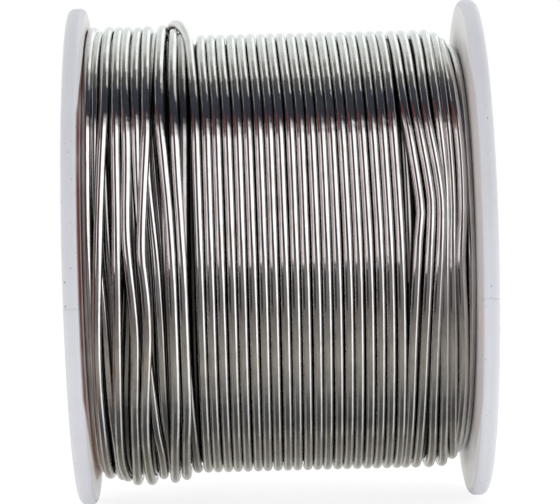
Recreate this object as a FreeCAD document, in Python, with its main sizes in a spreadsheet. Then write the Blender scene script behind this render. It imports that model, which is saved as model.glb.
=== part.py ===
import FreeCAD, Part
import math
import os
import re
import Sketcher

# A spool of solder wire, lying on its two rims.
# +X runs along the spool's axis, -Y is the front and +Z is up.
# The origin is the middle of the spindle bore. All lengths are in millimetres.

# Driving sizes
SIZES = {
    # Moulded spool
    "flange_diameter": 53.0,
    "overall_width": 43.2,
    "flange_rim_thickness": 1.7,
    "flange_root_thickness": 2.6,
    "rim_outer_round": 0.6,
    "rim_inner_round": 0.5,
    "drum_diameter": 30.0,
    "drum_wall": 1.5,
    "bore_diameter": 16.0,
    "bore_tube_wall": 1.6,
    "bore_chamfer": 0.5,
    "hub_web_thickness": 1.6,
    "rib_count": 6,
    "rib_thickness": 1.2,
    "rib_setback": 0.6,
    "rib_root": 0.5,
    "start_hole_diameter": 2.0,
    "start_hole_inset": 1.6,
    "start_hole_overcut": 0.5,
    # Paper labels in their recesses
    "label_rim_margin": 2.7,
    "label_hub_margin": 1.5,
    "label_thickness": 0.12,
    "label_recess_depth": 0.3,
    "label_edge_gap": 0.3,
    # Solder wire and its winding
    "wire_diameter": 1.0,
    "flux_core_diameter": 0.35,
    "flux_plug_length": 1.0,
    "winding_diameter": 47.0,
    "turn_count": 24,
    "winding_end_gap": 0.2,
    "layer_gap": 0.1,
    "drum_gap": 0.05,
    "heap_height": 1.05,
    "heap_length": 8.5,
    "heap_ramp": 2.5,
    "climb_bend_radius": 1.4,
    "climb_hole_gap": 0.1,
    # Start end of the wire, inside the hub
    "start_bend_radius": 1.2,
    "start_end_setback": 0.8,
    # Free end of the wire, which comes up between two turns and is laid over others
    "free_end_turn": 17,
    "free_end_side_gap": 0.2,
    "free_end_gap": 0.2,
    "free_end_crossing": 3.9,
    "free_end_crossing_angle": 50.0,
    "free_end_last_angle": 215.0,
}

doc = FreeCAD.newDocument("solder_wire_spool")
sheet = doc.addObject("Spreadsheet::Sheet", "Sizes")
for row, (name, size) in enumerate(SIZES.items(), start=1):
    sheet.set(f"A{row}", name)
    sheet.set(f"B{row}", str(size))
    sheet.setAlias(f"B{row}", name)
doc.recompute()


def bound(expression):
    """The expression with each size named as a cell of the sheet."""
    return re.sub(r"[a-z_]+", lambda word: "Sizes." + word.group(0) if word.group(0) in SIZES
                  else word.group(0), expression)


def size(expression):
    """The number that an expression of the sheet's sizes comes to."""
    return float(sheet.evalExpression(expression))


# Expressions that several pieces share
HALF_WIDTH = "overall_width / 2"
RIM_RADIUS = "flange_diameter / 2"
DRUM_RADIUS = "drum_diameter / 2"
BORE_RADIUS = "bore_diameter / 2"
POCKET_OUTER = "(drum_diameter / 2 - drum_wall)"
POCKET_INNER = "(bore_diameter / 2 + bore_tube_wall)"
RECESS_FLOOR = "(overall_width / 2 - label_recess_depth)"
RECESS_OUTER = "(flange_diameter / 2 - label_rim_margin)"
RECESS_INNER = "(drum_diameter / 2 + label_hub_margin)"
INNER_FACE_RIM = "(overall_width / 2 - flange_rim_thickness)"
INNER_FACE_ROOT = "(overall_width / 2 - flange_root_thickness)"
START_HOLE_X = "(flange_root_thickness + start_hole_inset - overall_width / 2)"
CORE_RADIUS = "(winding_diameter / 2 - wire_diameter - layer_gap)"
CORE_HALF_LENGTH = "(overall_width / 2 - flange_root_thickness - winding_end_gap)"


# Helpers for parametric bodies
def new_body(label):
    body = doc.addObject("PartDesign::Body", label)
    body.Label = label
    return body


def origin_feature(body, role):
    return next(feature for feature in body.Origin.OriginFeatures if feature.Role == role)


def new_sketch(body, name, role):
    sketch = body.newObject("Sketcher::SketchObject", name)
    sketch.AttachmentSupport = (origin_feature(body, role), [""])
    sketch.MapMode = "FlatFace"
    return sketch


def pin_point(sketch, geometry, end, across, up):
    """Hold one point of the sketch at two expressions, measured from its origin."""
    for kind, expression in (("DistanceX", across), ("DistanceY", up)):
        if expression == "0":
            axis = -2 if kind == "DistanceX" else -1
            sketch.addConstraint(Sketcher.Constraint("PointOnObject", geometry, end, axis))
            continue
        number = sketch.addConstraint(
            Sketcher.Constraint(kind, -1, 1, geometry, end, size(expression)))
        sketch.setExpression(f"Constraints[{number}]", bound(expression))


def outline(sketch, corners):
    """A closed outline of straight lines through corners given as expressions."""
    points = [FreeCAD.Vector(size(across), size(up), 0) for across, up in corners]
    count = len(points)
    for i in range(count):
        sketch.addGeometry(Part.LineSegment(points[i], points[(i + 1) % count]), False)
    for i in range(count):
        sketch.addConstraint(Sketcher.Constraint("Coincident", i, 2, (i + 1) % count, 1))
    for i, (across, up) in enumerate(corners):
        pin_point(sketch, i, 1, across, up)


def circle(sketch, across, up, diameter):
    centre = FreeCAD.Vector(size(across), size(up), 0)
    number = sketch.addGeometry(
        Part.Circle(centre, FreeCAD.Vector(0, 0, 1), size(diameter) / 2), False)
    pin_point(sketch, number, 3, across, up)
    constraint = sketch.addConstraint(Sketcher.Constraint("Diameter", number, size(diameter)))
    sketch.setExpression(f"Constraints[{constraint}]", bound(diameter))


def revolve(body, sketch):
    feature = body.newObject("PartDesign::Revolution", sketch.Name + "_revolved")
    feature.Profile = sketch
    feature.ReferenceAxis = (sketch, ["H_Axis"])
    feature.Angle = 360
    sketch.Visibility = False
    doc.recompute()
    return feature


def ring_edges(shape, rings):
    """Names of the full circles about the axis with these radii and places along it."""
    names = []
    for number, edge in enumerate(shape.Edges, start=1):
        if edge.Curve.TypeId != "Part::GeomCircle":
            continue
        for radius, place in rings:
            if abs(edge.Curve.Radius - radius) < 1e-4 and abs(edge.Curve.Center.x - place) < 1e-4:
                names.append(f"Edge{number}")
    return names


# Moulded spool
def make_spool_body():
    """One moulding: two flanges, the drum, the bore tube, a middle web and radial ribs."""
    body = new_body("spool_body")
    half_web = "hub_web_thickness / 2"
    section = new_sketch(body, "section", "XZ_Plane")
    right = [
        (HALF_WIDTH, BORE_RADIUS), (HALF_WIDTH, POCKET_INNER), (half_web, POCKET_INNER),
        (half_web, POCKET_OUTER), (HALF_WIDTH, POCKET_OUTER), (HALF_WIDTH, RECESS_INNER),
        (RECESS_FLOOR, RECESS_INNER), (RECESS_FLOOR, RECESS_OUTER), (HALF_WIDTH, RECESS_OUTER),
        (HALF_WIDTH, RIM_RADIUS), (INNER_FACE_RIM, RIM_RADIUS), (INNER_FACE_ROOT, DRUM_RADIUS),
    ]
    left = [("-" + across, up) for across, up in reversed(right)]
    outline(section, right + left)
    shell = revolve(body, section)

    rib_sketch = new_sketch(body, "rib_outline", "XZ_Plane")
    rib_end = "(overall_width / 2 - rib_setback)"
    rib_low = "(bore_diameter / 2 + bore_tube_wall - rib_root)"
    rib_high = "(drum_diameter / 2 - drum_wall + rib_root)"
    outline(rib_sketch, [("-" + rib_end, rib_low), (rib_end, rib_low),
                         (rib_end, rib_high), ("-" + rib_end, rib_high)])
    rib = body.newObject("PartDesign::Pad", "rib")
    rib.Profile = rib_sketch
    rib.SideType = "Symmetric"
    rib.setExpression("Length", bound("rib_thickness"))
    rib_sketch.Visibility = False
    doc.recompute()
    ribs = body.newObject("PartDesign::PolarPattern", "ribs")
    ribs.Originals = [rib]
    ribs.Axis = (origin_feature(body, "X_Axis"), [""])
    ribs.Angle = 360
    ribs.setExpression("Occurrences", bound("rib_count"))
    body.Tip = ribs
    doc.recompute()

    # A hole through the drum wall lets the start end of the wire into the hub.
    hole_sketch = new_sketch(body, "start_hole_outline", "XZ_Plane")
    hole_sketch.setExpression("AttachmentOffset.Base.z", bound("-" + DRUM_RADIUS))
    circle(hole_sketch, START_HOLE_X, "0", "start_hole_diameter")
    hole = body.newObject("PartDesign::Pocket", "start_hole")
    hole.Profile = hole_sketch
    hole.Reversed = True
    hole.setExpression("Length", bound("drum_wall + start_hole_overcut"))
    hole_sketch.Visibility = False
    doc.recompute()

    rims = {"rim_outer_round": HALF_WIDTH, "rim_inner_round": INNER_FACE_RIM}
    base = hole
    for radius_name, place in rims.items():
        rim_round = body.newObject("PartDesign::Fillet", radius_name)
        rings = [(size(RIM_RADIUS), side * size(place)) for side in (-1, 1)]
        rim_round.Base = (base, ring_edges(base.Shape, rings))
        rim_round.setExpression("Radius", bound(radius_name))
        doc.recompute()
        base = rim_round

    mouths = body.newObject("PartDesign::Chamfer", "bore_mouths")
    rings = [(size(BORE_RADIUS), side * size(HALF_WIDTH)) for side in (-1, 1)]
    mouths.Base = (base, ring_edges(base.Shape, rings))
    mouths.setExpression("Size", bound("bore_chamfer"))
    doc.recompute()
    print("spool_body: revolved", round(shell.Shape.Volume, 1), "with ribs",
          round(ribs.Shape.Volume, 1), "start hole cuts",
          round(ribs.Shape.Volume - hole.Shape.Volume, 2), "finished",
          round(mouths.Shape.Volume, 1), "mm3")
    return body


# Paper labels
def make_label(label, side):
    """A ring of paper on the floor of a flange's recess."""
    body = new_body(label)
    sketch = new_sketch(body, label + "_outline", "YZ_Plane")
    sketch.setExpression("AttachmentOffset.Base.z",
                         bound(RECESS_FLOOR if side > 0 else "-" + RECESS_FLOOR))
    circle(sketch, "0", "0", "(" + RECESS_OUTER + " - label_edge_gap) * 2")
    circle(sketch, "0", "0", "(" + RECESS_INNER + " + label_edge_gap) * 2")
    pad = body.newObject("PartDesign::Pad", label + "_pad")
    pad.Profile = sketch
    pad.Reversed = side < 0
    pad.setExpression("Length", bound("label_thickness"))
    sketch.Visibility = False
    doc.recompute()
    return body


# Winding
LEFT_FACE = -size(CORE_HALF_LENGTH)
WIRE = size("wire_diameter")
TURNS = round(size("turn_count"))
LAYER_RADIUS = size("winding_diameter") / 2 - WIRE / 2
TRAVEL = 2 * size(CORE_HALF_LENGTH) - WIRE
# Between two turns there is room for the free end to come up, with a gap on each side.
OPENING = max(0.0, (2 * WIRE + 2 * size("free_end_side_gap") - TRAVEL / TURNS)
              / (1 - 1 / TURNS))
PITCH = (TRAVEL - OPENING) / TURNS
OPENING_ANGLE = 90 + 360 * round(size("free_end_turn"))


def heap(place):
    """How much further out the turns lie at the left end, where they are piled up."""
    past = place - LEFT_FACE - size("heap_length")
    return size("heap_height") * min(1.0, max(0.0, 1 - past / size("heap_ramp")))


def around(place, radius, angle):
    """A point at an angle in degrees: 0 is the front, 90 the top and 180 the back."""
    turned = math.radians(angle)
    return FreeCAD.Vector(place, -radius * math.cos(turned), radius * math.sin(turned))


def arc_between(start, corner, end):
    """The arc that leaves start towards corner and reaches end from it."""
    weight = (end - start).Length / 2 / (corner - start).Length
    middle = (start + corner * (2 * weight) + end) * (0.5 / (1 + weight))
    return Part.Arc(start, middle, end).toShape()


def biarc(start, leaving, end, arriving):
    """Two arcs that join two points and keep the directions there."""
    chord = end - start
    both = leaving + arriving
    bend = 2 * (1 - leaving.dot(arriving))
    along = chord.dot(both)
    reach = (math.sqrt(along ** 2 + bend * chord.dot(chord)) - along) / bend
    first = start + leaving * reach
    second = end - arriving * reach
    joint = (first + second) * 0.5
    return [arc_between(start, first, joint), arc_between(joint, second, end)]


def path_edges(route, first, last, step):
    """Biarcs along a route, a function of the angle, from the first angle to the last."""
    count = round((last - first) / step)
    edges = []
    for i in range(count):
        ends = [first + (last - first) * j / count for j in (i, i + 1)]
        points = [route(angle) for angle in ends]
        ways = [heading(route, angle) for angle in ends]
        edges += biarc(points[0], ways[0], points[1], ways[1])
    return edges


def heading(route, angle):
    small = 0.01
    way = route(angle + small) - route(angle - small)
    return way.normalize()


def tube(edges, start, way):
    """One unbroken round tube of the wire's size along joined edges."""
    section = Part.Wire([Part.Circle(start, way, WIRE / 2).toShape()])
    shape = Part.Wire(edges).makePipeShell([section], True, False)
    if shape.Volume < 0:
        shape.reverse()
    length = sum(edge.Length for edge in edges)
    expected = math.pi * WIRE ** 2 / 4 * length
    print("tube: length", round(length, 1), "mm, volume against section times length",
          round(shape.Volume / expected, 4))
    return shape


def add_shape(label, shape):
    feature = doc.addObject("Part::Feature", label)
    feature.Label = label
    feature.Shape = shape
    feature.Placement = FreeCAD.Placement()


def eased(share):
    """A share from 0 to 1 that sets off and arrives gently."""
    share = min(1.0, max(0.0, share))
    return share * share * (3 - 2 * share)


def layer_route(angle):
    """The outer layer, from its start at the back of the right end towards the left end."""
    turned = (angle - 180) / 360
    place = -LEFT_FACE - WIRE / 2 - PITCH * turned - OPENING * eased((angle - OPENING_ANGLE) / 360)
    return around(place, LAYER_RADIUS + heap(place), angle)


def climb(base, way, outward, rising):
    """The bend and the straight end where the wire comes up out of the winding or goes down."""
    bend = size("climb_bend_radius")
    centre = base - outward * bend
    low = centre - way * bend if rising else centre + way * bend
    corner = low + outward * bend
    foot = low - outward * WIRE
    straight = Part.LineSegment(foot, low) if rising else Part.LineSegment(low, foot)
    arc = arc_between(low, corner, base) if rising else arc_between(base, corner, low)
    return straight.toShape(), arc, foot


def square_heading(route, angle, outward):
    """The way of a route at an angle, without its part along outward."""
    way = heading(route, angle)
    return (way - outward * way.dot(outward)).normalize()


def make_outer_layer():
    """The turns that show, as one tube whose two ends go down into the winding."""
    outward = FreeCAD.Vector(0, 1, 0)
    first, last = 180, 180 + 360 * TURNS
    ways = [square_heading(layer_route, angle, outward) for angle in (first, last)]
    rise, rise_arc, rise_foot = climb(layer_route(first), ways[0], outward, True)
    dive, dive_arc, dive_foot = climb(layer_route(last), ways[1], outward, False)
    turns = path_edges(layer_route, first, last, 90)
    edges = [rise, rise_arc] + turns + [dive_arc, dive]
    report_least_gap(turns)
    add_shape("outer_layer", tube(edges, rise_foot, outward))
    return [rise_foot, dive_foot]


def report_least_gap(turns):
    """Print the least gap between each turn and the next, measured on points of the path."""
    points = [point for edge in turns for point in edge.discretize(7)[:-1]]
    around_once = len(points) // TURNS
    near = range(around_once * 3 // 4, around_once * 5 // 4)
    gap = min((points[i] - points[i + j]).Length for j in near for i in range(len(points) - j))
    print("outer_layer: least gap to itself", round(gap - WIRE, 3), "mm over", TURNS, "turns")


def make_inner_winding(feet):
    """The layers below, as one plain solid with slots where the wire comes up or goes down."""
    body = new_body("inner_winding")
    section = new_sketch(body, "winding_section", "XZ_Plane")
    inside = "(drum_diameter / 2 + drum_gap)"
    heaped = "(" + CORE_RADIUS + " + heap_height)"
    left = "-" + CORE_HALF_LENGTH
    outline(section, [
        (left, inside), (CORE_HALF_LENGTH, inside), (CORE_HALF_LENGTH, CORE_RADIUS),
        (f"(heap_length + heap_ramp - {CORE_HALF_LENGTH})", CORE_RADIUS),
        (f"(heap_length - {CORE_HALF_LENGTH})", heaped), (left, heaped),
    ])
    base = revolve(body, section)
    half = WIRE / 2 + size("climb_hole_gap")
    rise_foot, dive_foot, free_foot = feet
    slots = (
        ("rise_slot", "XZ_Plane", rise_foot, rise_foot.y, rise_foot.z + half),
        ("dive_slot", "XZ_Plane", dive_foot, dive_foot.y, dive_foot.z - half),
        ("free_slot", "XY_Plane", free_foot, free_foot.z, free_foot.y - half),
    )
    for name, plane, foot, depth, far in slots:
        sketch = new_sketch(body, name + "_outline", plane)
        flat = plane == "XY_Plane"
        sketch.AttachmentOffset = FreeCAD.Placement(
            FreeCAD.Vector(0, 0, depth if flat else -depth), FreeCAD.Rotation())
        corners = [(foot.x - half, 0), (foot.x + half, 0), (foot.x + half, far),
                   (foot.x - half, far)]
        points = [FreeCAD.Vector(across, up, 0) for across, up in corners]
        for i in range(4):
            sketch.addGeometry(Part.LineSegment(points[i], points[(i + 1) % 4]), False)
        slot = body.newObject("PartDesign::Pocket", name)
        slot.Profile = sketch
        slot.Reversed = flat
        slot.setExpression("Length", bound("winding_diameter / 2"))
        sketch.Visibility = False
        before = base.Shape.Volume
        doc.recompute()
        print("inner_winding:", name, "cuts", round(before - slot.Shape.Volume, 2), "mm3")
        base = slot
    return body


# Cut ends of the wire, each with the flux core that runs inside it
def add_cut_end(label, shape, end, way):
    """A stretch of wire whose cut end shows its flux core, as a plug of its own."""
    radius = size("flux_core_diameter") / 2
    length = size("flux_plug_length")
    seat = Part.makeCylinder(radius, length, end - way * length, way)
    add_shape(label, shape.cut(seat))
    plug = doc.addObject("Part::Cylinder", label + "_flux")
    plug.Label = label + "_flux"
    plug.setExpression("Radius", bound("flux_core_diameter / 2"))
    plug.setExpression("Height", bound("flux_plug_length"))
    turned = FreeCAD.Rotation(FreeCAD.Vector(0, 0, 1), way)
    plug.Placement = FreeCAD.Placement(end - way * length, turned)


def make_start_end():
    """The first end of the wire, bent through the drum and out along a hub pocket."""
    top = size("(drum_diameter / 2 + drum_gap)")
    place = size(START_HOLE_X)
    bend = size("start_bend_radius")
    inward, outside = FreeCAD.Vector(0, -1, 0), FreeCAD.Vector(-1, 0, 0)
    start = FreeCAD.Vector(place, top, 0)
    corner = start + inward * (WIRE + bend)
    bend_start = corner - inward * bend
    bend_end = corner + outside * bend
    end = FreeCAD.Vector(size("(start_end_setback - overall_width / 2)"), corner.y, 0)
    edges = [Part.LineSegment(start, bend_start).toShape(),
             arc_between(bend_start, corner, bend_end),
             Part.LineSegment(bend_end, end).toShape()]
    add_cut_end("start_end", tube(edges, start, inward), end, outside)


FREE_END_PLACE = (layer_route(OPENING_ANGLE).x + layer_route(OPENING_ANGLE + 360).x) / 2


def free_end_route(angle):
    """The last stretch of wire crosses over the turns behind the top, then follows them."""
    crossed = eased((angle - 90) / size("free_end_crossing_angle"))
    place = FREE_END_PLACE - size("free_end_crossing") * crossed
    return around(place, LAYER_RADIUS + WIRE + heap(place) + size("free_end_gap"), angle)


def make_free_end():
    """The free end, which comes up between two turns at the top and ends at the back."""
    outward = FreeCAD.Vector(0, 0, 1)
    first, last = 90, size("free_end_last_angle")
    way_in = square_heading(free_end_route, first, outward)
    rise, rise_arc, foot = climb(free_end_route(first), way_in, outward, True)
    end, way_out = free_end_route(last), heading(free_end_route, last)
    tail = end + way_out * WIRE
    edges = ([rise, rise_arc] + path_edges(free_end_route, first, last, 12.5)
             + [Part.LineSegment(end, tail).toShape()])
    add_cut_end("free_end", tube(edges, foot, outward), tail, way_out)
    return foot


make_spool_body()
make_label("left_label", -1)
make_label("right_label", 1)
feet = make_outer_layer() + [make_free_end()]
make_inner_winding(feet)
make_start_end()
doc.recompute()

# Checks before anything is written
NODES = ["spool_body", "left_label", "right_label", "inner_winding", "outer_layer",
         "start_end", "start_end_flux", "free_end", "free_end_flux"]
failed = [feature.Name for feature in doc.Objects
          if {"Invalid", "Error"} & set(feature.State)]
if failed:
    raise RuntimeError("features that failed: " + ", ".join(failed))
pieces = {feature.Label: feature for feature in doc.Objects if feature.Label in NODES}
for node in NODES:
    shape = pieces[node].Shape
    if shape.isNull() or not shape.isValid() or len(shape.Solids) != 1:
        raise RuntimeError(f"{node} is not one valid solid")

os.makedirs("parts", exist_ok=True)
for node in NODES:
    shape = pieces[node].Shape
    shape.exportStep(f"parts/{node}.step")
    print(node, "volume", round(shape.Volume, 2), "mm3")
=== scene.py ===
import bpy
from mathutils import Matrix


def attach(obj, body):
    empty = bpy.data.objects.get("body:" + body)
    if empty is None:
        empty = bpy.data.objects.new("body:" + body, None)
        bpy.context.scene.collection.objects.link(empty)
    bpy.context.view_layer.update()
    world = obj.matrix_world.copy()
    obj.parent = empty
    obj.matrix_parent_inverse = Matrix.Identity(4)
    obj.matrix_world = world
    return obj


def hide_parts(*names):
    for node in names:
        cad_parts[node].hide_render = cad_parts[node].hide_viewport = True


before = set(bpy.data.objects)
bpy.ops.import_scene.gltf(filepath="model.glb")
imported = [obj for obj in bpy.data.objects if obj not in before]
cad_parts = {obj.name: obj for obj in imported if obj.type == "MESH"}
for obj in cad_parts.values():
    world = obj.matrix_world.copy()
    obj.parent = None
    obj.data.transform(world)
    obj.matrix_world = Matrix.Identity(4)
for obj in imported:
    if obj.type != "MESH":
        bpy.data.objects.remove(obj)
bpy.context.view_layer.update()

import math

import bpy
from mathutils import Matrix, Vector

# A spool of solder wire, in metres, with +X along its axis and -Y to the front.
# Angles round the axis are in degrees: -90 is the top, 0 the front, 90 the bottom
# and 180 the back.
MM = 0.001
WIRE = 1.0 * MM
WIRE_SIDES = 24
HIDDEN_WIRE_SIDES = 10
LAYER_RADIUS = 22.95 * MM
FLOOR_HEIGHT = -26.5 * MM
# Degrees between the points of a path
STEP = 3.0


# Node trees
def add_node(tree, kind, links=None, values=None, **settings):
    """A node with its settings, its links from other sockets and its plain values."""
    made = tree.nodes.new(kind)
    for name, setting in settings.items():
        setattr(made, name, setting)
    for key, value in (values or {}).items():
        made.inputs[key].default_value = value
    for key, source in (links or {}).items():
        tree.links.new(source, made.inputs[key])
    return made


def maths(tree, operation, first, second=None):
    """The result of a Math node on sockets or numbers."""
    made = tree.nodes.new("ShaderNodeMath")
    made.operation = operation
    for socket, source in zip(made.inputs, (first, second)):
        if source is None:
            continue
        if isinstance(source, (int, float)):
            socket.default_value = source
        else:
            tree.links.new(source, socket)
    return made.outputs[0]


def fade(tree, source, low, high, to_low=0.0, to_high=1.0):
    """A socket that runs smoothly from to_low to to_high as its source goes from low to high."""
    made = add_node(tree, "ShaderNodeMapRange", {"Value": source},
                    {"From Min": low, "From Max": high, "To Min": to_low, "To Max": to_high},
                    interpolation_type="SMOOTHSTEP")
    return made.outputs[0]


def between(tree, source, low, high, soft):
    """1 where the source lies between two numbers, with soft edges, and 0 elsewhere."""
    rise = fade(tree, source, low - soft, low + soft)
    return maths(tree, "MULTIPLY", rise, fade(tree, source, high + soft, high - soft))


def mixed(tree, share, first, second):
    """The colour between two colours, each a socket or three numbers."""
    made = tree.nodes.new("ShaderNodeMix")
    made.data_type = "RGBA"
    tree.links.new(share, made.inputs["Factor"])
    for socket, source in ((made.inputs["A"], first), (made.inputs["B"], second)):
        if isinstance(source, tuple):
            socket.default_value = (*source, 1)
        else:
            tree.links.new(source, socket)
    return next(output for output in made.outputs if output.type == "RGBA")


def ramp(tree, source, stops):
    """Colours along a ramp, each stop a place and a colour."""
    made = add_node(tree, "ShaderNodeValToRGB", {"Fac": source})
    elements = made.color_ramp.elements
    while len(elements) < len(stops):
        elements.new(0.5)
    for element, (place, colour) in zip(elements, stops):
        element.position = place
        element.color = (*colour, 1)
    return made.outputs["Color"]


def new_material(name):
    material = bpy.data.materials.new(name)
    material.use_nodes = True
    tree = material.node_tree
    return material, tree, tree.nodes["Principled BSDF"]


def bumped(tree, height, depth):
    return add_node(tree, "ShaderNodeBump", {"Height": height},
                    {"Distance": depth}).outputs["Normal"]


# Materials
def outward_share(tree):
    """1 where a surface faces away from the axis, 0 where it faces along the axis."""
    coordinates = tree.nodes.new("ShaderNodeTexCoord").outputs
    across = add_node(tree, "ShaderNodeVectorMath", {0: coordinates["Object"]}, {1: (0, 1, 1)},
                      operation="MULTIPLY").outputs[0]
    outward = add_node(tree, "ShaderNodeVectorMath", {0: across}, operation="NORMALIZE").outputs[0]
    return add_node(tree, "ShaderNodeVectorMath", {0: outward, 1: coordinates["Normal"]},
                    operation="DOT_PRODUCT").outputs["Value"]


def make_solder(name, colour, roughness):
    """Bright drawn wire with fine lines along it, dull patches, painted shade on the flanks that
    face along the axis, and small dents.
    """
    material, tree, surface = new_material(name)
    run = add_node(tree, "ShaderNodeAttribute", attribute_name="wire_run").outputs["Fac"]
    side = add_node(tree, "ShaderNodeAttribute", attribute_name="wire_side").outputs["Fac"]
    turned = maths(tree, "MULTIPLY", side, 2 * math.pi)
    along = add_node(tree, "ShaderNodeCombineXYZ", {
        "X": maths(tree, "COSINE", turned), "Y": maths(tree, "SINE", turned),
        "Z": maths(tree, "MULTIPLY", run, 1 / (14 * MM))}).outputs[0]
    drawn = add_node(tree, "ShaderNodeTexNoise", {"Vector": along},
                     {"Scale": 5.0, "Detail": 3.0, "Roughness": 0.6}).outputs["Fac"]
    position = add_node(tree, "ShaderNodeTexCoord").outputs["Object"]
    cloud = add_node(tree, "ShaderNodeTexNoise", {"Vector": position},
                     {"Scale": 420.0, "Detail": 4.0, "Roughness": 0.55}).outputs["Fac"]
    dents = add_node(tree, "ShaderNodeTexNoise", {"Vector": position},
                     {"Scale": 900.0, "Detail": 1.0}).outputs["Fac"]
    dull = tuple(0.86 * channel for channel in colour)
    bright = mixed(tree, fade(tree, cloud, 0.42, 0.72), colour, dull)
    tarnish = tuple(share * channel for share, channel in zip((0.74, 0.68, 0.6), colour))
    bright = mixed(tree, fade(tree, drawn, 0.52, 0.66, 0.0, 0.8), bright, tarnish)
    # Painted shade: the flanks that face along the axis, between neighbouring turns, are painted
    # darker
    painted_flank_shade = tuple(0.2 * channel for channel in colour)
    tree.links.new(mixed(tree, fade(tree, outward_share(tree), -0.3, 0.2), painted_flank_shade, bright),
                   surface.inputs["Base Color"])
    tree.links.new(fade(tree, drawn, 0.3, 0.75, roughness * 0.8, roughness * 1.5),
                   surface.inputs["Roughness"])
    height = maths(tree, "ADD", maths(tree, "MULTIPLY", drawn, 0.12), dents)
    tree.links.new(bumped(tree, height, 0.018 * MM), surface.inputs["Normal"])
    surface.inputs["Metallic"].default_value = 1.0
    return material


def make_moulding():
    """Frosted white plastic with soft flow marks, inner faces painted whiter as painted light, a
    stain partly darkened with painted shade, painted shade on the right face, and a mould line on
    the rims.
    """
    material, tree, surface = new_material("frosted_moulding")
    position = add_node(tree, "ShaderNodeTexCoord").outputs["Object"]
    parts = add_node(tree, "ShaderNodeSeparateXYZ", {"Vector": position}).outputs
    cloud = add_node(tree, "ShaderNodeTexNoise", {"Vector": position},
                     {"Scale": 120.0, "Detail": 3.0}).outputs["Fac"]
    grain = add_node(tree, "ShaderNodeTexNoise", {"Vector": position},
                     {"Scale": 2600.0, "Detail": 2.0}).outputs["Fac"]
    radius = maths(tree, "SQRT", maths(tree, "ADD", maths(tree, "POWER", parts["Y"], 2.0),
                                       maths(tree, "POWER", parts["Z"], 2.0)))
    body = mixed(tree, fade(tree, cloud, 0.35, 0.7), (0.72, 0.732, 0.78), (0.685, 0.697, 0.74))
    # The inner faces are painted whiter than the rims and the outer faces: painted light for the
    # glow through the thin plastic
    rim_edge, face_edge = 26.2 * MM, 25.6 * MM
    rim_side, inner_side = 20.6 * MM, 20.2 * MM
    inside_painted_light = maths(tree, "MULTIPLY", fade(tree, radius, rim_edge, face_edge),
                   fade(tree, maths(tree, "ABSOLUTE", parts["X"]), rim_side, inner_side))
    body = mixed(tree, inside_painted_light, body, (0.95, 0.945, 0.935))
    # A brown stain on the left face beside the winding, higher up the face at the front. Its dark
    # brown is partly painted shade of the narrow groove there, and towards the bottom it is painted
    # paler, painted light against the shade that falls low in the groove.
    narrowest, widest = 24.2 * MM, 26.35 * MM
    groove_stain_and_shade_edge = fade(tree, maths(tree, "ABSOLUTE", parts["Z"]), 22.0 * MM, 14.0 * MM,
                      narrowest, widest)
    depth = maths(tree, "SUBTRACT", radius, groove_stain_and_shade_edge)
    groove_stain_and_shade_colour = mixed(tree, fade(tree, parts["Z"], -12.0 * MM, -20.0 * MM),
                         (0.13, 0.035, 0.02), (0.62, 0.44, 0.36))
    groove_stain_and_shade = maths(tree, "MULTIPLY", fade(tree, depth, 0.2 * MM, -0.2 * MM),
                  between(tree, parts["X"], -20.08 * MM, 0.0, 0.04 * MM))
    groove_stain_and_shade = maths(tree, "MULTIPLY", groove_stain_and_shade, fade(tree, depth, -1.7 * MM, -1.2 * MM, 0.6, 1.0))
    groove_stain_and_shade = maths(tree, "MULTIPLY", groove_stain_and_shade, fade(tree, cloud, 0.3, 0.6, 0.7, 1.0))
    groove_stain_and_shade = maths(tree, "MULTIPLY", groove_stain_and_shade, fade(tree, parts["Z"], -23.75 * MM, -23.45 * MM))
    specks = add_node(tree, "ShaderNodeTexNoise", {"Vector": position},
                      {"Scale": 3600.0, "Detail": 0.0}).outputs["Fac"]
    specks_painted_light_and_shade = mixed(tree, fade(tree, specks, 0.81, 0.84, 0.0, 0.7), body, (0.2, 0.2, 0.22))
    # Painted shade: a faint mauve darkening on the front of the right face beside the winding
    right_face_painted_shade = maths(tree, "MULTIPLY", fade(tree, depth, 0.6 * MM, 0.0, 0.0, 0.6),
                 between(tree, parts["X"], 19.0 * MM, 20.04 * MM, 0.04 * MM))
    right_face_painted_shade = maths(tree, "MULTIPLY", right_face_painted_shade, fade(tree, parts["Y"], -10.0 * MM, -15.0 * MM))
    specks_painted_light_and_shade = mixed(tree, right_face_painted_shade, specks_painted_light_and_shade, (0.62, 0.53, 0.53))
    tree.links.new(mixed(tree, groove_stain_and_shade, specks_painted_light_and_shade, groove_stain_and_shade_colour), surface.inputs["Base Color"])
    tree.links.new(fade(tree, cloud, 0.3, 0.7, 0.42, 0.55), surface.inputs["Roughness"])
    seam = maths(tree, "MULTIPLY", between(tree, parts["Z"], -5.24 * MM, -5.1 * MM, 0.05 * MM),
                 fade(tree, parts["Y"], -25.0 * MM, -25.8 * MM))
    height = maths(tree, "ADD", maths(tree, "MULTIPLY", grain, 0.1), seam)
    tree.links.new(bumped(tree, height, 0.06 * MM), surface.inputs["Normal"])
    surface.inputs["Subsurface Weight"].default_value = 0.3
    surface.inputs["Subsurface Radius"].default_value = (1.0, 0.95, 0.93)
    surface.inputs["Subsurface Scale"].default_value = 1.0 * MM
    surface.inputs["Specular IOR Level"].default_value = 0.2
    return material


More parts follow.
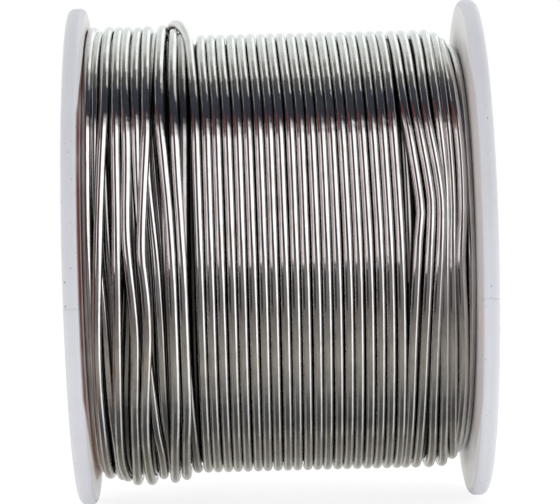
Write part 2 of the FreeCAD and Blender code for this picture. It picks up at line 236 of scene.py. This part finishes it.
def make_paper():
    """Blank coated paper with faint fibres."""
    material, tree, surface = new_material("blank_label")
    position = add_node(tree, "ShaderNodeTexCoord").outputs["Object"]
    fibres = add_node(tree, "ShaderNodeTexNoise", {"Vector": position},
                      {"Scale": 1500.0, "Detail": 5.0, "Roughness": 0.7}).outputs["Fac"]
    tree.links.new(mixed(tree, fade(tree, fibres, 0.35, 0.65), (0.88, 0.875, 0.84),
                         (0.82, 0.81, 0.77)), surface.inputs["Base Color"])
    tree.links.new(bumped(tree, fibres, 0.01 * MM), surface.inputs["Normal"])
    surface.inputs["Roughness"].default_value = 0.5
    return material


def make_rosin():
    """Amber flux, clear at its surface and cloudy below."""
    material, tree, surface = new_material("rosin_flux")
    position = add_node(tree, "ShaderNodeTexCoord").outputs["Object"]
    cloud = add_node(tree, "ShaderNodeTexNoise", {"Vector": position},
                     {"Scale": 5000.0, "Detail": 3.0}).outputs["Fac"]
    tree.links.new(mixed(tree, cloud, (0.62, 0.33, 0.08), (0.75, 0.5, 0.2)),
                   surface.inputs["Base Color"])
    surface.inputs["Roughness"].default_value = 0.2
    return material


SOLDER = make_solder("bright_solder", (0.64, 0.635, 0.625), 0.08)
# The turns under the pile and the layer below get darker copies of the same solder: painted shade
UNDER_SOLDER = make_solder("under_solder_painted_shade", (0.4, 0.392, 0.382), 0.1)
LOWER_SOLDER = make_solder("lower_solder_painted_shade", (0.12, 0.117, 0.114), 0.2)
MOULDING = make_moulding()
PAPER = make_paper()
ROSIN = make_rosin()


# Paths of the wire
def smooth_between(points):
    """A function of the angle that passes smoothly through points of (angle, value, ...)."""
    def slope(i, k):
        low, high = points[max(i - 1, 0)], points[min(i + 1, len(points) - 1)]
        return (high[k] - low[k]) / (high[0] - low[0])

    def value(angle):
        i = 0
        while i < len(points) - 2 and angle > points[i + 1][0]:
            i += 1
        start, end = points[i], points[i + 1]
        span = end[0] - start[0]
        s = min(1.0, max(0.0, (angle - start[0]) / span))
        found = []
        for k in range(1, len(start)):
            found.append((2 * s ** 3 - 3 * s ** 2 + 1) * start[k]
                         + (s ** 3 - 2 * s ** 2 + s) * span * slope(i, k)
                         + (3 * s ** 2 - 2 * s ** 3) * end[k]
                         + (s ** 3 - s ** 2) * span * slope(i + 1, k))
        return found
    return value


def around(place, radius, angle):
    turned = math.radians(angle)
    return Vector((place, -radius * math.cos(turned), -radius * math.sin(turned)))


def swept_path(points):
    """Points in metres along a path of (angle, place, lift), with both lengths in millimetres."""
    route = smooth_between(points)
    first, last = points[0][0], points[-1][0]
    count = round((last - first) / STEP)
    path = []
    for i in range(count + 1):
        angle = first + (last - first) * i / count
        place, lift = route(angle)
        path.append(around(place * MM, LAYER_RADIUS + lift * MM, angle))
    return path


def chained(turns):
    """Turns one after another as a single path. Each is a list of (angle, place, lift)."""
    return [(angle + 360 * i, place, lift) for i, turn in enumerate(turns)
            for angle, place, lift in turn]


# Regular turns lie a little more than a wire apart. They step to the right above the front and
# past the bottom. Each row is an angle, how far the turn has moved, and how much it leans besides
# where it lies towards the right flange. Their numbers count from one near the middle.
REGULAR_TURNS = range(-8, 12)
PITCH = 1.058
MIDDLE_PLACE = 0.40
UNEVENNESS = 0.022
TURN_COURSE = (
    (-90, -0.66, 0.0), (-75, -0.65, 0.0), (-60, -0.52, -0.04), (-40, -0.19, -0.19),
    (-20, -0.07, -0.13), (0, 0.0, -0.02), (40, 0.03, 0.0), (75, 0.10, 0.0), (90, 0.14, 0.0),
    (98, 0.27, 0.0), (108, 0.37, 0.0), (125, 0.40, 0.0), (180, 0.40, 0.0),
)


def regular_turn(number):
    """One turn on its course, a few hundredths of a millimetre uneven."""
    place = MIDDLE_PLACE + PITCH * number
    near_right = min(1.0, max(0.0, (number - 3) / 5))
    return [(angle, place + moved + near_right * lean
             + UNEVENNESS * math.sin(2.3 * number + angle / 33), 0.0)
            for angle, moved, lean in TURN_COURSE]


# Turns towards the right flange, which kink to the right above the front and partly slip under
# each other. Each row is (angle, place, lift), from the top to the bottom.
RIGHT_TURNS = (
    ((-90, 12.55, 0), (-60, 12.68, 0), (-40, 12.95, 0), (-30, 13.32, 0), (-20, 13.75, 0),
     (-13, 14.03, 0), (-9, 14.12, 0), (-6, 14.0, 0), (-2, 13.8, 0), (4, 13.62, 0),
     (12, 13.4, 0), (22, 13.2, 0), (35, 13.08, 0), (60, 13.02, 0), (90, 13.1, 0),
     (110, 13.2, 0)),
    ((-90, 13.65, 0), (-60, 13.8, 0), (-40, 14.05, 0), (-30, 14.4, 0), (-20, 14.88, 0),
     (-12, 15.2, 0), (-6, 15.12, 0), (0, 14.92, 0), (20, 14.42, 0), (35, 14.22, 0),
     (60, 14.1, 0), (90, 14.2, 0), (110, 14.3, 0)),
    ((-90, 14.9, 0), (-60, 15.0, 0), (-40, 15.12, 0), (-30, 15.42, 0), (-20, 15.92, 0),
     (-11, 16.22, 0), (0, 16.0, 0), (12, 15.65, 0), (25, 15.42, 0), (45, 15.32, 0),
     (65, 15.5, 0), (90, 15.6, 0), (110, 15.65, 0)),
    ((-90, 16.05, 0), (-60, 16.1, 0), (-45, 16.2, 0), (-30, 16.5, -0.2), (-18, 16.75, -0.5),
     (-8, 16.72, -0.55), (0, 16.58, -0.5), (12, 16.42, -0.3), (30, 16.38, 0), (60, 16.55, 0),
     (75, 16.85, -0.05), (90, 16.95, -0.1), (110, 16.95, -0.1)),
    ((-90, 17.1, -0.3), (-60, 17.05, -0.2), (-45, 17.15, -0.3), (-30, 17.32, -0.4),
     (-12, 17.42, -0.5), (0, 17.25, -0.4), (12, 17.2, -0.3), (30, 17.25, -0.1),
     (45, 17.35, -0.1), (60, 17.6, -0.3), (75, 17.9, -0.6), (90, 18.0, -0.9)),
    ((-90, 17.8, -0.9), (-75, 17.7, -0.65), (-60, 17.75, -0.3), (-45, 18.03, 0),
     (-25, 18.35, 0), (-10, 18.32, 0), (3, 18.0, 0), (18, 18.16, 0), (35, 18.27, 0),
     (50, 18.2, -0.1), (60, 18.15, -0.4), (70, 18.3, -1.0), (90, 18.5, -1.5)),
    ((-90, 18.6, -1.6), (-65, 18.8, -1.35), (-40, 18.97, -1.0), (-10, 19.04, -0.75),
     (5, 19.06, -0.7), (15, 19.04, -0.8), (40, 18.98, -0.95), (60, 18.87, -1.15),
     (75, 18.73, -1.35), (90, 18.7, -1.8)),
)

# A turn of the layer below, which shows beside the first kink
SHOWING_TURN = ((-45, 12.7, -1.3), (-30, 12.8, -0.75), (-12, 12.88, -0.62), (2, 12.85, -0.7),
                (15, 12.75, -1.3))

# Turns piled up towards the left flange, one layer higher, which cross over each other.
# Each row is (angle, place, lift), from the top to the bottom.
PILED_TURNS = (
    ((-90, -19.05, 1.05), (-60, -19.17, 1.0), (-45, -19.2, 1.0), (-25, -19.17, 0.95),
     (0, -19.15, 0.9), (20, -19.14, 0.8), (40, -19.12, 0.5), (60, -19.1, 0.1),
     (75, -19.05, -0.2), (90, -19.0, -0.3)),
    ((-90, -18.3, 0.6), (-60, -18.42, 0.6), (-50, -18.45, 0.6), (-30, -18.37, 0.5),
     (-10, -18.35, 0.2), (0, -18.1, 0.1), (10, -17.85, 0.2), (20, -17.65, 0.35),
     (40, -17.42, 0.5), (60, -17.15, 0.55), (90, -17.1, 0.58)),
    ((-90, -17.37, 1.1), (-60, -17.41, 1.1), (-40, -17.4, 1.1), (-20, -17.72, 1.15),
     (0, -18.1, 1.2), (15, -18.42, 1.2), (30, -18.58, 1.1), (50, -18.47, 0.95),
     (70, -18.4, 0.6), (90, -18.35, 0.36)),
    ((-90, -16.35, 1.05), (-60, -16.32, 1.05), (-30, -16.24, 1.05), (-10, -16.19, 1.05),
     (0, -16.26, 1.05), (20, -16.45, 1.05), (40, -16.7, 1.05), (60, -16.84, 1.0),
     (75, -16.6, 0.85), (90, -16.45, 0.7)),
    ((-90, -15.43, 1.05), (-50, -15.4, 1.05), (-25, -15.12, 1.05), (-5, -15.25, 1.1),
     (5, -15.0, 1.1), (12, -14.78, 1.1), (20, -14.66, 1.1), (30, -14.82, 1.1),
     (40, -15.03, 1.1), (60, -15.23, 1.15), (90, -15.5, 1.15)),
    ((-90, -14.33, 1.0), (-50, -14.35, 1.0), (-35, -14.2, 0.95), (-20, -14.08, 0.8),
     (-8, -13.95, 0.4), (10, -13.7, 0.15), (30, -13.4, 0.2), (40, -13.17, 0.4),
     (50, -12.95, 0.6), (60, -12.62, 0.7), (75, -12.6, 0.65), (90, -12.75, 0.58)),
    ((-90, -13.28, 1.1), (-40, -13.2, 1.1), (-30, -13.18, 1.1), (-15, -13.5, 1.15),
     (0, -13.8, 1.2), (8, -13.52, 1.2), (18, -13.4, 1.2), (30, -13.7, 1.2), (40, -13.98, 1.2),
     (50, -14.13, 1.2), (65, -14.08, 1.15), (90, -13.95, 1.15)),
    ((-90, -12.55, 0.4), (-60, -12.6, 0.4), (-42, -12.85, 0.3), (-28, -13.05, 0.2),
     (-18, -13.0, 0.3), (-8, -12.65, 0.3), (0, -12.38, 0.35), (10, -12.2, 0.5),
     (20, -12.1, 0.6), (40, -12.05, 0.5), (55, -11.95, 0.1), (90, -11.9, 0.0)),
    ((-90, -11.7, 1.1), (-50, -11.88, 1.1), (-35, -11.8, 1.1), (-20, -11.35, 1.1),
     (-8, -11.0, 1.1), (5, -10.82, 1.1), (25, -10.8, 1.1), (40, -10.9, 1.1),
     (55, -11.18, 1.05), (75, -11.44, 1.0), (90, -11.5, 1.0)),
    ((-90, -10.55, 0.75), (-50, -10.55, 0.6), (-35, -10.37, 0.8), (-20, -10.15, 0.9),
     (0, -9.8, 0.9), (20, -9.72, 0.9), (40, -9.75, 0.85), (55, -10.03, 0.75),
     (75, -10.23, 0.7), (90, -10.28, 0.7)),
)

# Turns of the outer layer that show between the piled ones, askew as well.
# Each row is (angle, place, lift), from the top to the bottom.
UNDER_TURNS = (
    ((-90, -19.1, 0), (-60, -19.05, 0), (0, -18.9, -0.2), (60, -18.6, -0.8), (90, -18.4, -0.9)),
    ((-90, -18.2, 0), (-60, -18.1, 0), (-40, -17.75, 0), (-25, -17.45, 0.1),
     (-10, -17.25, 0.25), (0, -17.08, 0.3), (12, -16.8, 0.2), (30, -16.85, 0), (60, -17.25, 0),
     (90, -17.5, 0)),
    ((-90, -17.1, 0), (-60, -16.95, 0), (-30, -16.75, -0.2), (-10, -16.1, -0.4),
     (0, -15.6, -0.5), (8, -15.6, -0.3), (15, -15.85, -0.4), (30, -16.25, -0.4),
     (60, -16.6, -0.2), (90, -16.6, 0)),
    ((-90, -16.0, 0), (-60, -15.95, 0), (-30, -15.85, 0), (-10, -15.6, 0), (0, -15.3, 0),
     (10, -15.15, 0.15), (22, -15.45, 0.3), (35, -15.8, 0.35), (50, -16.0, 0.3),
     (62, -16.1, 0.2), (90, -15.9, 0)),
    ((-90, -15.0, 0), (-60, -14.95, 0), (-35, -14.9, 0.1), (-15, -14.65, 0.1), (0, -14.5, 0),
     (20, -14.3, -0.2), (30, -14.2, -0.2), (60, -14.6, 0), (90, -14.8, 0)),
    ((-90, -14.0, 0), (-60, -13.95, 0), (-30, -13.7, -0.1), (-5, -13.25, -0.4),
     (8, -12.95, -0.3), (20, -12.98, -0.3), (40, -13.2, 0), (60, -13.5, 0), (90, -13.6, 0)),
    ((-90, -12.9, -0.2), (-60, -12.85, -0.2), (-40, -12.7, -0.3), (-28, -12.55, -0.3),
     (-15, -12.25, -0.35), (-5, -11.98, -0.35), (5, -11.85, -0.2), (30, -11.9, -0.2),
     (60, -12.4, 0), (90, -12.5, 0)),
    ((-90, -11.8, 0), (-60, -11.75, 0), (-40, -11.5, 0), (-20, -11.4, 0), (0, -11.35, 0),
     (30, -11.3, 0), (60, -11.4, 0), (90, -11.4, 0)),
    ((-90, -10.8, 0), (-60, -10.7, 0), (-40, -10.5, -0.1), (-25, -10.45, -0.2),
     (0, -10.5, -0.25), (30, -10.4, -0.2), (60, -10.3, 0), (90, -10.2, 0)),
    ((-90, -9.85, 0.35), (-75, -9.8, 0.25), (-60, -9.66, 0.1), (-40, -9.5, 0.05),
     (-25, -9.52, 0.05), (0, -9.65, -0.05), (20, -9.68, -0.05), (40, -9.45, 0), (60, -9.2, 0),
     (90, -9.02, 0)),
)

# The crossing near the top, from the first regular turn over its neighbours to the back.
CROSSING_START = (-62, -8.68, 0.0)
CROSSING_END = (
    CROSSING_START, (-68, -8.82, 0.15), (-75, -9.05, 0.5), (-81, -9.45, 1.05), (-87, -10.0, 1.55),
    (-93, -10.6, 1.8), (-100, -11.12, 1.75), (-110, -11.6, 1.65), (-130, -11.95, 1.9),
    (-150, -12.0, 2.05), (-180, -12.05, 2.05), (-215, -12.2, 2.05),
)


def outer_paths():
    """The regular turns and those towards the right flange, as a path that dives in at its end."""
    turns = [regular_turn(number) for number in REGULAR_TURNS]
    turns[0] = [CROSSING_START] + turns[0][3:]
    turns += [list(rows) for rows in RIGHT_TURNS]
    path = chained(turns)
    last = path[-1]
    return [path + [(last[0] + 90, 18.8, -2.4)]]


def piled_paths():
    """The piled turns, which rise at the left flange and dive in again at the right of the pile."""
    path = chained([list(rows) for rows in PILED_TURNS])
    first, last = path[0], path[-1]
    return [[(first[0] - 90, -19.0, 0.0), (first[0] - 60, -19.0, 0.6)] + path
            + [(last[0] + 50, -10.2, 0.1), (last[0] + 80, -10.1, -0.8)]]


def under_paths():
    """The turns of the outer layer that lie under the pile, and one that shows at the right."""
    return [chained([list(rows) for rows in UNDER_TURNS]), SHOWING_TURN]


def lower_paths():
    """A full layer below, which runs back from the right to the left."""
    turns, start, pitch, lift = 35, 17.3, 1.03, -0.93
    below = []
    for number in range(turns):
        for angle in (-90, 0, 90, 180):
            place = start - pitch * (number + (angle + 90) / 360)
            below.append((angle + 360 * number, place, lift))
    return [below]


# Sweep of the wire along its paths
def make_wire_sweep():
    """A tree that sweeps a round wire along the edges of a mesh."""
    tree = bpy.data.node_groups.new("wire_sweep", "GeometryNodeTree")
    sockets = (("Path", "NodeSocketGeometry"), ("Wire diameter", "NodeSocketFloat"),
               ("Sides", "NodeSocketInt"), ("Finish", "NodeSocketMaterial"))
    for name, kind in sockets:
        tree.interface.new_socket(name=name, in_out="INPUT", socket_type=kind)
    tree.interface.new_socket(name="Wire", in_out="OUTPUT", socket_type="NodeSocketGeometry")
    given = tree.nodes.new("NodeGroupInput").outputs
    curve = add_node(tree, "GeometryNodeMeshToCurve", {"Mesh": given["Path"]}).outputs["Curve"]
    length = tree.nodes.new("GeometryNodeSplineParameter").outputs["Length"]
    marked = add_node(tree, "GeometryNodeStoreNamedAttribute",
                      {"Geometry": curve, "Value": length}, {"Name": "wire_run"},
                      data_type="FLOAT", domain="POINT").outputs[0]
    radius = maths(tree, "DIVIDE", given["Wire diameter"], 2.0)
    circle = add_node(tree, "GeometryNodeCurvePrimitiveCircle",
                      {"Resolution": given["Sides"], "Radius": radius}).outputs["Curve"]
    factor = tree.nodes.new("GeometryNodeSplineParameter").outputs["Factor"]
    profile = add_node(tree, "GeometryNodeStoreNamedAttribute",
                       {"Geometry": circle, "Value": factor}, {"Name": "wire_side"},
                       data_type="FLOAT", domain="POINT").outputs[0]
    swept = add_node(tree, "GeometryNodeCurveToMesh",
                     {"Curve": marked, "Profile Curve": profile}, {"Fill Caps": True}).outputs[0]
    smooth = add_node(tree, "GeometryNodeSetShadeSmooth", {"Geometry": swept}).outputs[0]
    real = add_node(tree, "GeometryNodeRealizeInstances", {"Geometry": smooth}).outputs[0]
    finished = add_node(tree, "GeometryNodeSetMaterial",
                        {"Geometry": real, "Material": given["Finish"]}).outputs[0]
    add_node(tree, "NodeGroupOutput", {"Wire": finished})
    return tree


WIRE_SWEEP = make_wire_sweep()


def set_input(modifier, name, value):
    item = next(item for item in modifier.node_group.interface.items_tree
                if item.name == name and item.in_out == "INPUT")
    modifier[item.identifier] = value


def make_wire_piece(name, paths, sides, finish):
    """A piece of wire along one or more paths, as a plain mesh."""
    points, edges = [], []
    for path in paths:
        first = len(points)
        points += path
        edges += [(i, i + 1) for i in range(first, len(points) - 1)]
    line = bpy.data.meshes.new(name + "_line")
    line.from_pydata(points, edges, [])
    guide = bpy.data.objects.new(name + "_guide", line)
    bpy.context.scene.collection.objects.link(guide)
    modifier = guide.modifiers.new("wire_sweep", "NODES")
    modifier.node_group = WIRE_SWEEP
    set_input(modifier, "Wire diameter", WIRE)
    set_input(modifier, "Sides", sides)
    set_input(modifier, "Finish", finish)
    bpy.context.view_layer.update()
    evaluated = guide.evaluated_get(bpy.context.evaluated_depsgraph_get())
    mesh = bpy.data.meshes.new_from_object(evaluated)
    mesh.name = name
    bpy.data.objects.remove(guide)
    piece = bpy.data.objects.new(name, mesh)
    bpy.context.scene.collection.objects.link(piece)
    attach(piece, "root")
    return piece


outer_turns = make_wire_piece("outer_turns", [swept_path(path) for path in outer_paths()],
                              WIRE_SIDES, SOLDER)
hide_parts("outer_layer")
make_wire_piece("piled_turns", [swept_path(path) for path in piled_paths()], WIRE_SIDES, SOLDER)
make_wire_piece("under_turns", [swept_path(path) for path in under_paths()], WIRE_SIDES,
                UNDER_SOLDER)
lower_turns = make_wire_piece("lower_turns", [swept_path(path) for path in lower_paths()],
                              HIDDEN_WIRE_SIDES, LOWER_SOLDER)
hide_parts("inner_winding")
crossing_end = make_wire_piece(
    "crossing_end", [list(reversed(swept_path(tuple(reversed(CROSSING_END)))))],
    WIRE_SIDES, SOLDER)
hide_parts("free_end")

# Finishes of the modelled nodes
FINISHES = {
    "spool_body": MOULDING, "left_label": PAPER, "right_label": PAPER,
    "start_end": SOLDER, "start_end_flux": ROSIN, "free_end_flux": ROSIN,
}
for node_name, finish in FINISHES.items():
    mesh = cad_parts[node_name].data
    mesh.materials.clear()
    mesh.materials.append(finish)


# Studio
def make_floor():
    """A pale floor that the camera sees as white, with the spool's shadow on it."""
    half = 2.0
    mesh = bpy.data.meshes.new("floor")
    mesh.from_pydata([(-half, -half, FLOOR_HEIGHT), (half, -half, FLOOR_HEIGHT),
                      (half, half, FLOOR_HEIGHT), (-half, half, FLOOR_HEIGHT)], [], [(0, 1, 2, 3)])
    floor = bpy.data.objects.new("floor", mesh)
    bpy.context.scene.collection.objects.link(floor)
    material = bpy.data.materials.new("pale_floor")
    material.use_nodes = True
    tree = material.node_tree
    tree.nodes.clear()
    table = add_node(tree, "ShaderNodeBsdfDiffuse", values={"Color": (0.88, 0.87, 0.86, 1)})
    lit_from_below = add_node(tree, "ShaderNodeEmission", values={"Strength": 0.38})
    plain = add_node(tree, "ShaderNodeAddShader",
                     {0: table.outputs[0], 1: lit_from_below.outputs[0]})
    faint = add_node(tree, "ShaderNodeBsdfDiffuse", values={"Color": (0.25, 0.25, 0.25, 1)})
    glow = add_node(tree, "ShaderNodeEmission", values={"Strength": 0.82})
    white = add_node(tree, "ShaderNodeAddShader", {0: faint.outputs[0], 1: glow.outputs[0]})
    clear = tree.nodes.new("ShaderNodeBsdfTransparent")
    ray = tree.nodes.new("ShaderNodeLightPath").outputs
    seen = maths(tree, "MAXIMUM", ray["Is Camera Ray"], ray["Is Transmission Ray"])
    both = add_node(tree, "ShaderNodeMixShader",
                    {0: seen, 1: plain.outputs[0], 2: white.outputs[0]})
    mirrored = add_node(tree, "ShaderNodeMixShader",
                        {0: ray["Is Glossy Ray"], 1: both.outputs[0], 2: clear.outputs[0]})
    add_node(tree, "ShaderNodeOutputMaterial", {"Surface": mirrored.outputs[0]})
    mesh.materials.append(material)


def mirrored_studio(tree):
    """What the metal mirrors, laid out by where the front of a wire shows it.

    The height is the angle round the spool, from -90 at the top to 90 at the bottom. The side
    is 0 on the middle line of a wire, 1 at its right edge and -1 at its left edge.
    """
    direction = add_node(tree, "ShaderNodeTexCoord").outputs["Generated"]
    halfway = add_node(tree, "ShaderNodeVectorMath", {0: direction}, {1: (0, -1, 0)},
                       operation="ADD").outputs[0]
    facing = add_node(tree, "ShaderNodeVectorMath", {0: halfway}, operation="NORMALIZE").outputs[0]
    parts = add_node(tree, "ShaderNodeSeparateXYZ", {"Vector": facing}).outputs
    turned = maths(tree, "ARCTAN2", maths(tree, "MULTIPLY", parts["Z"], -1.0),
                   maths(tree, "MULTIPLY", parts["Y"], -1.0))
    height = maths(tree, "MULTIPLY", turned, 180 / math.pi)
    side = parts["X"]

    def stops(*pairs):
        return [((angle + 90) / 180, colour) for angle, colour in pairs]

    # Straight ahead: white backdrop, dark ceiling, dim room, grey table and pale backdrop again
    shown = ramp(tree, maths(tree, "DIVIDE", maths(tree, "ADD", height, 90.0), 180.0), stops(
        (-90, (0.98, 1.0, 1.0)), (-72, (0.93, 1.0, 0.99)), (-65, (0.88, 0.92, 0.9)),
        (-61, (0.78, 0.79, 0.77)), (-56, (0.34, 0.33, 0.31)), (-50, (0.115, 0.115, 0.115)),
        (-45, (0.06, 0.065, 0.085)), (-37, (0.04, 0.044, 0.06)), (-33, (0.06, 0.05, 0.055)),
        (-18, (0.11, 0.095, 0.11)), (-3, (0.06, 0.055, 0.065)), (5, (0.26, 0.24, 0.25)),
        (16, (0.22, 0.2, 0.19)), (28, (0.4, 0.37, 0.33)), (36, (0.3, 0.28, 0.26)),
        (43, (0.11, 0.11, 0.115)), (50, (0.08, 0.08, 0.082)), (60, (0.175, 0.158, 0.135)),
        (74, (0.3, 0.285, 0.25)), (90, (0.8, 0.8, 0.78))))
    cards = (
        # Pale walls beyond the ceiling, a warm card and a dim wall on the left
        (-78, -53, 0.2, 2.0, (1.38, 1.45, 1.43)),
        (-53, -47, 0.36, 2.0, (0.9, 0.93, 0.92)),
        (-74, -50, -2.0, -0.4, (1.03, 1.08, 1.06)),
        (-50, -40, -2.0, -0.6, (0.95, 0.95, 0.95)),
        (-34, 3, -2.0, -0.28, (1.55, 1.38, 1.4)),
        (-38, -31, -2.0, -0.29, (0.2, 0.07, 0.07)),
        (5, 15, -0.6, -0.3, (0.03, 0.028, 0.03)),
        (22, 54, -2.0, -0.35, (0.32, 0.31, 0.28)),
        (54, 70, -2.0, -0.35, (0.5, 0.49, 0.45)),
        (54, 70, 0.3, 2.0, (0.42, 0.42, 0.4)),
        (70, 82, -2.0, -0.3, (0.6, 0.6, 0.56)),
        (70, 82, 0.3, 2.0, (0.5, 0.5, 0.47)),
    )
    for low, high, left, right, colour in cards:
        share = maths(tree, "MULTIPLY", between(tree, height, low, high, 1.5),
                      between(tree, side, left, right, 0.08))
        shown = mixed(tree, share, shown, colour)
    # Folds in the warm card, which run nearly along the wire
    slanted = maths(tree, "ADD", maths(tree, "MULTIPLY", side, 8.0),
                    maths(tree, "MULTIPLY", height, 0.1))
    across_folds = add_node(tree, "ShaderNodeCombineXYZ", {
        "X": slanted, "Y": maths(tree, "MULTIPLY", height, 0.04)}).outputs[0]
    folds = add_node(tree, "ShaderNodeTexNoise", {"Vector": across_folds},
                     {"Scale": 1.0, "Detail": 2.0}).outputs["Fac"]
    share = maths(tree, "MULTIPLY", between(tree, height, -30, 6, 3.0),
                  between(tree, side, -0.72, -0.4, 0.1))
    share = maths(tree, "MULTIPLY", share, fade(tree, folds, 0.54, 0.44, 0.05, 0.72))
    shown = mixed(tree, share, shown, (0.17, 0.08, 0.09))
    # The key light and the white side wall under it, which shows further out below the front
    edge = fade(tree, height, -10.0, 13.0, 0.1, 0.37)
    past_edge = maths(tree, "SUBTRACT", side, edge)
    share = maths(tree, "MULTIPLY", between(tree, height, -34.5, 57.0, 3.0),
                  fade(tree, past_edge, -0.07, 0.1))
    wall = mixed(tree, fade(tree, height, 16.0, 57.0), (1.8, 1.8, 1.85), (0.82, 0.82, 0.83))
    return mixed(tree, share, shown, wall)


def make_world():
    """White for the camera, even and pale for matt surfaces, and a studio for metal to mirror."""
    world = bpy.data.worlds.new("studio")
    bpy.context.scene.world = world
    world.use_nodes = True
    tree = world.node_tree
    tree.nodes.clear()
    direction = add_node(tree, "ShaderNodeSeparateXYZ", {
        "Vector": add_node(tree, "ShaderNodeTexCoord").outputs["Generated"]}).outputs
    ray = tree.nodes.new("ShaderNodeLightPath").outputs
    # The soft light is dimmer from the front than from behind and from the sides
    soft = mixed(tree, fade(tree, direction["Y"], -0.8, 0.8), (0.5, 0.5, 0.51), (1.0, 1.0, 1.0))
    soft = mixed(tree, fade(tree, maths(tree, "ABSOLUTE", direction["X"]), 0.35, 0.85), soft,
                 (1.03, 1.03, 1.03))
    # Metal that lights the plastic beside it mirrors the soft light
    mirrored = maths(tree, "MULTIPLY", ray["Is Glossy Ray"],
                     maths(tree, "LESS_THAN", ray["Diffuse Depth"], 0.5))
    lit = mixed(tree, mirrored, soft, mirrored_studio(tree))
    seen = maths(tree, "MAXIMUM", ray["Is Camera Ray"], ray["Is Transmission Ray"])
    shown = mixed(tree, seen, lit, (1.0, 1.0, 1.0))
    background = add_node(tree, "ShaderNodeBackground", {"Color": shown})
    add_node(tree, "ShaderNodeOutputWorld", {"Surface": background.outputs[0]})


def add_area_light(name, place, width, height, brightness):
    """A soft rectangular light that faces the object. Brightness is its radiance."""
    light = bpy.data.lights.new(name, "AREA")
    light.shape = "RECTANGLE"
    light.size, light.size_y = width, height
    light.energy = brightness * math.pi * width * height
    lamp = bpy.data.objects.new(name, light)
    lamp.location = place
    lamp.rotation_mode = "QUATERNION"
    lamp.rotation_quaternion = (-Vector(place)).to_track_quat("-Z", "Y")
    lamp.visible_glossy = False
    bpy.context.scene.collection.objects.link(lamp)


make_floor()
make_world()
KEY_DISTANCE = 0.45
KEY_DIRECTION = Vector((0.649, -0.499, 0.575))
KEY_WIDTH = 0.66
KEY_HEIGHT = 0.3
KEY_BRIGHTNESS = 0.2
add_area_light("key_softbox", KEY_DISTANCE * KEY_DIRECTION, KEY_WIDTH, KEY_HEIGHT,
               KEY_BRIGHTNESS)

# Camera: a long lens at the height of the axis, tilted a little to one side
CAMERA_PLACE = Vector((-3.43, -315.4, 0.0)) * MM
AIM = Vector((0.25, 0.0, 0.0)) * MM
CAMERA_ROLL = math.radians(-1.393)
SENSOR_WIDTH = 36.0
FOCAL_LENGTH = 188.8
NEAREST_SEEN = 0.01
camera_data = bpy.data.cameras.new("camera")
camera_data.sensor_width = SENSOR_WIDTH
camera_data.lens = FOCAL_LENGTH
camera_data.clip_start = NEAREST_SEEN
camera = bpy.data.objects.new("camera", camera_data)
bpy.context.scene.collection.objects.link(camera)
aimed = (AIM - CAMERA_PLACE).to_track_quat("-Z", "Y").to_matrix().to_4x4()
camera.matrix_world = (Matrix.Translation(CAMERA_PLACE) @ aimed
                       @ Matrix.Rotation(CAMERA_ROLL, 4, "Z"))
bpy.context.scene.camera = camera

scene = bpy.context.scene
scene.view_settings.view_transform = "Standard"
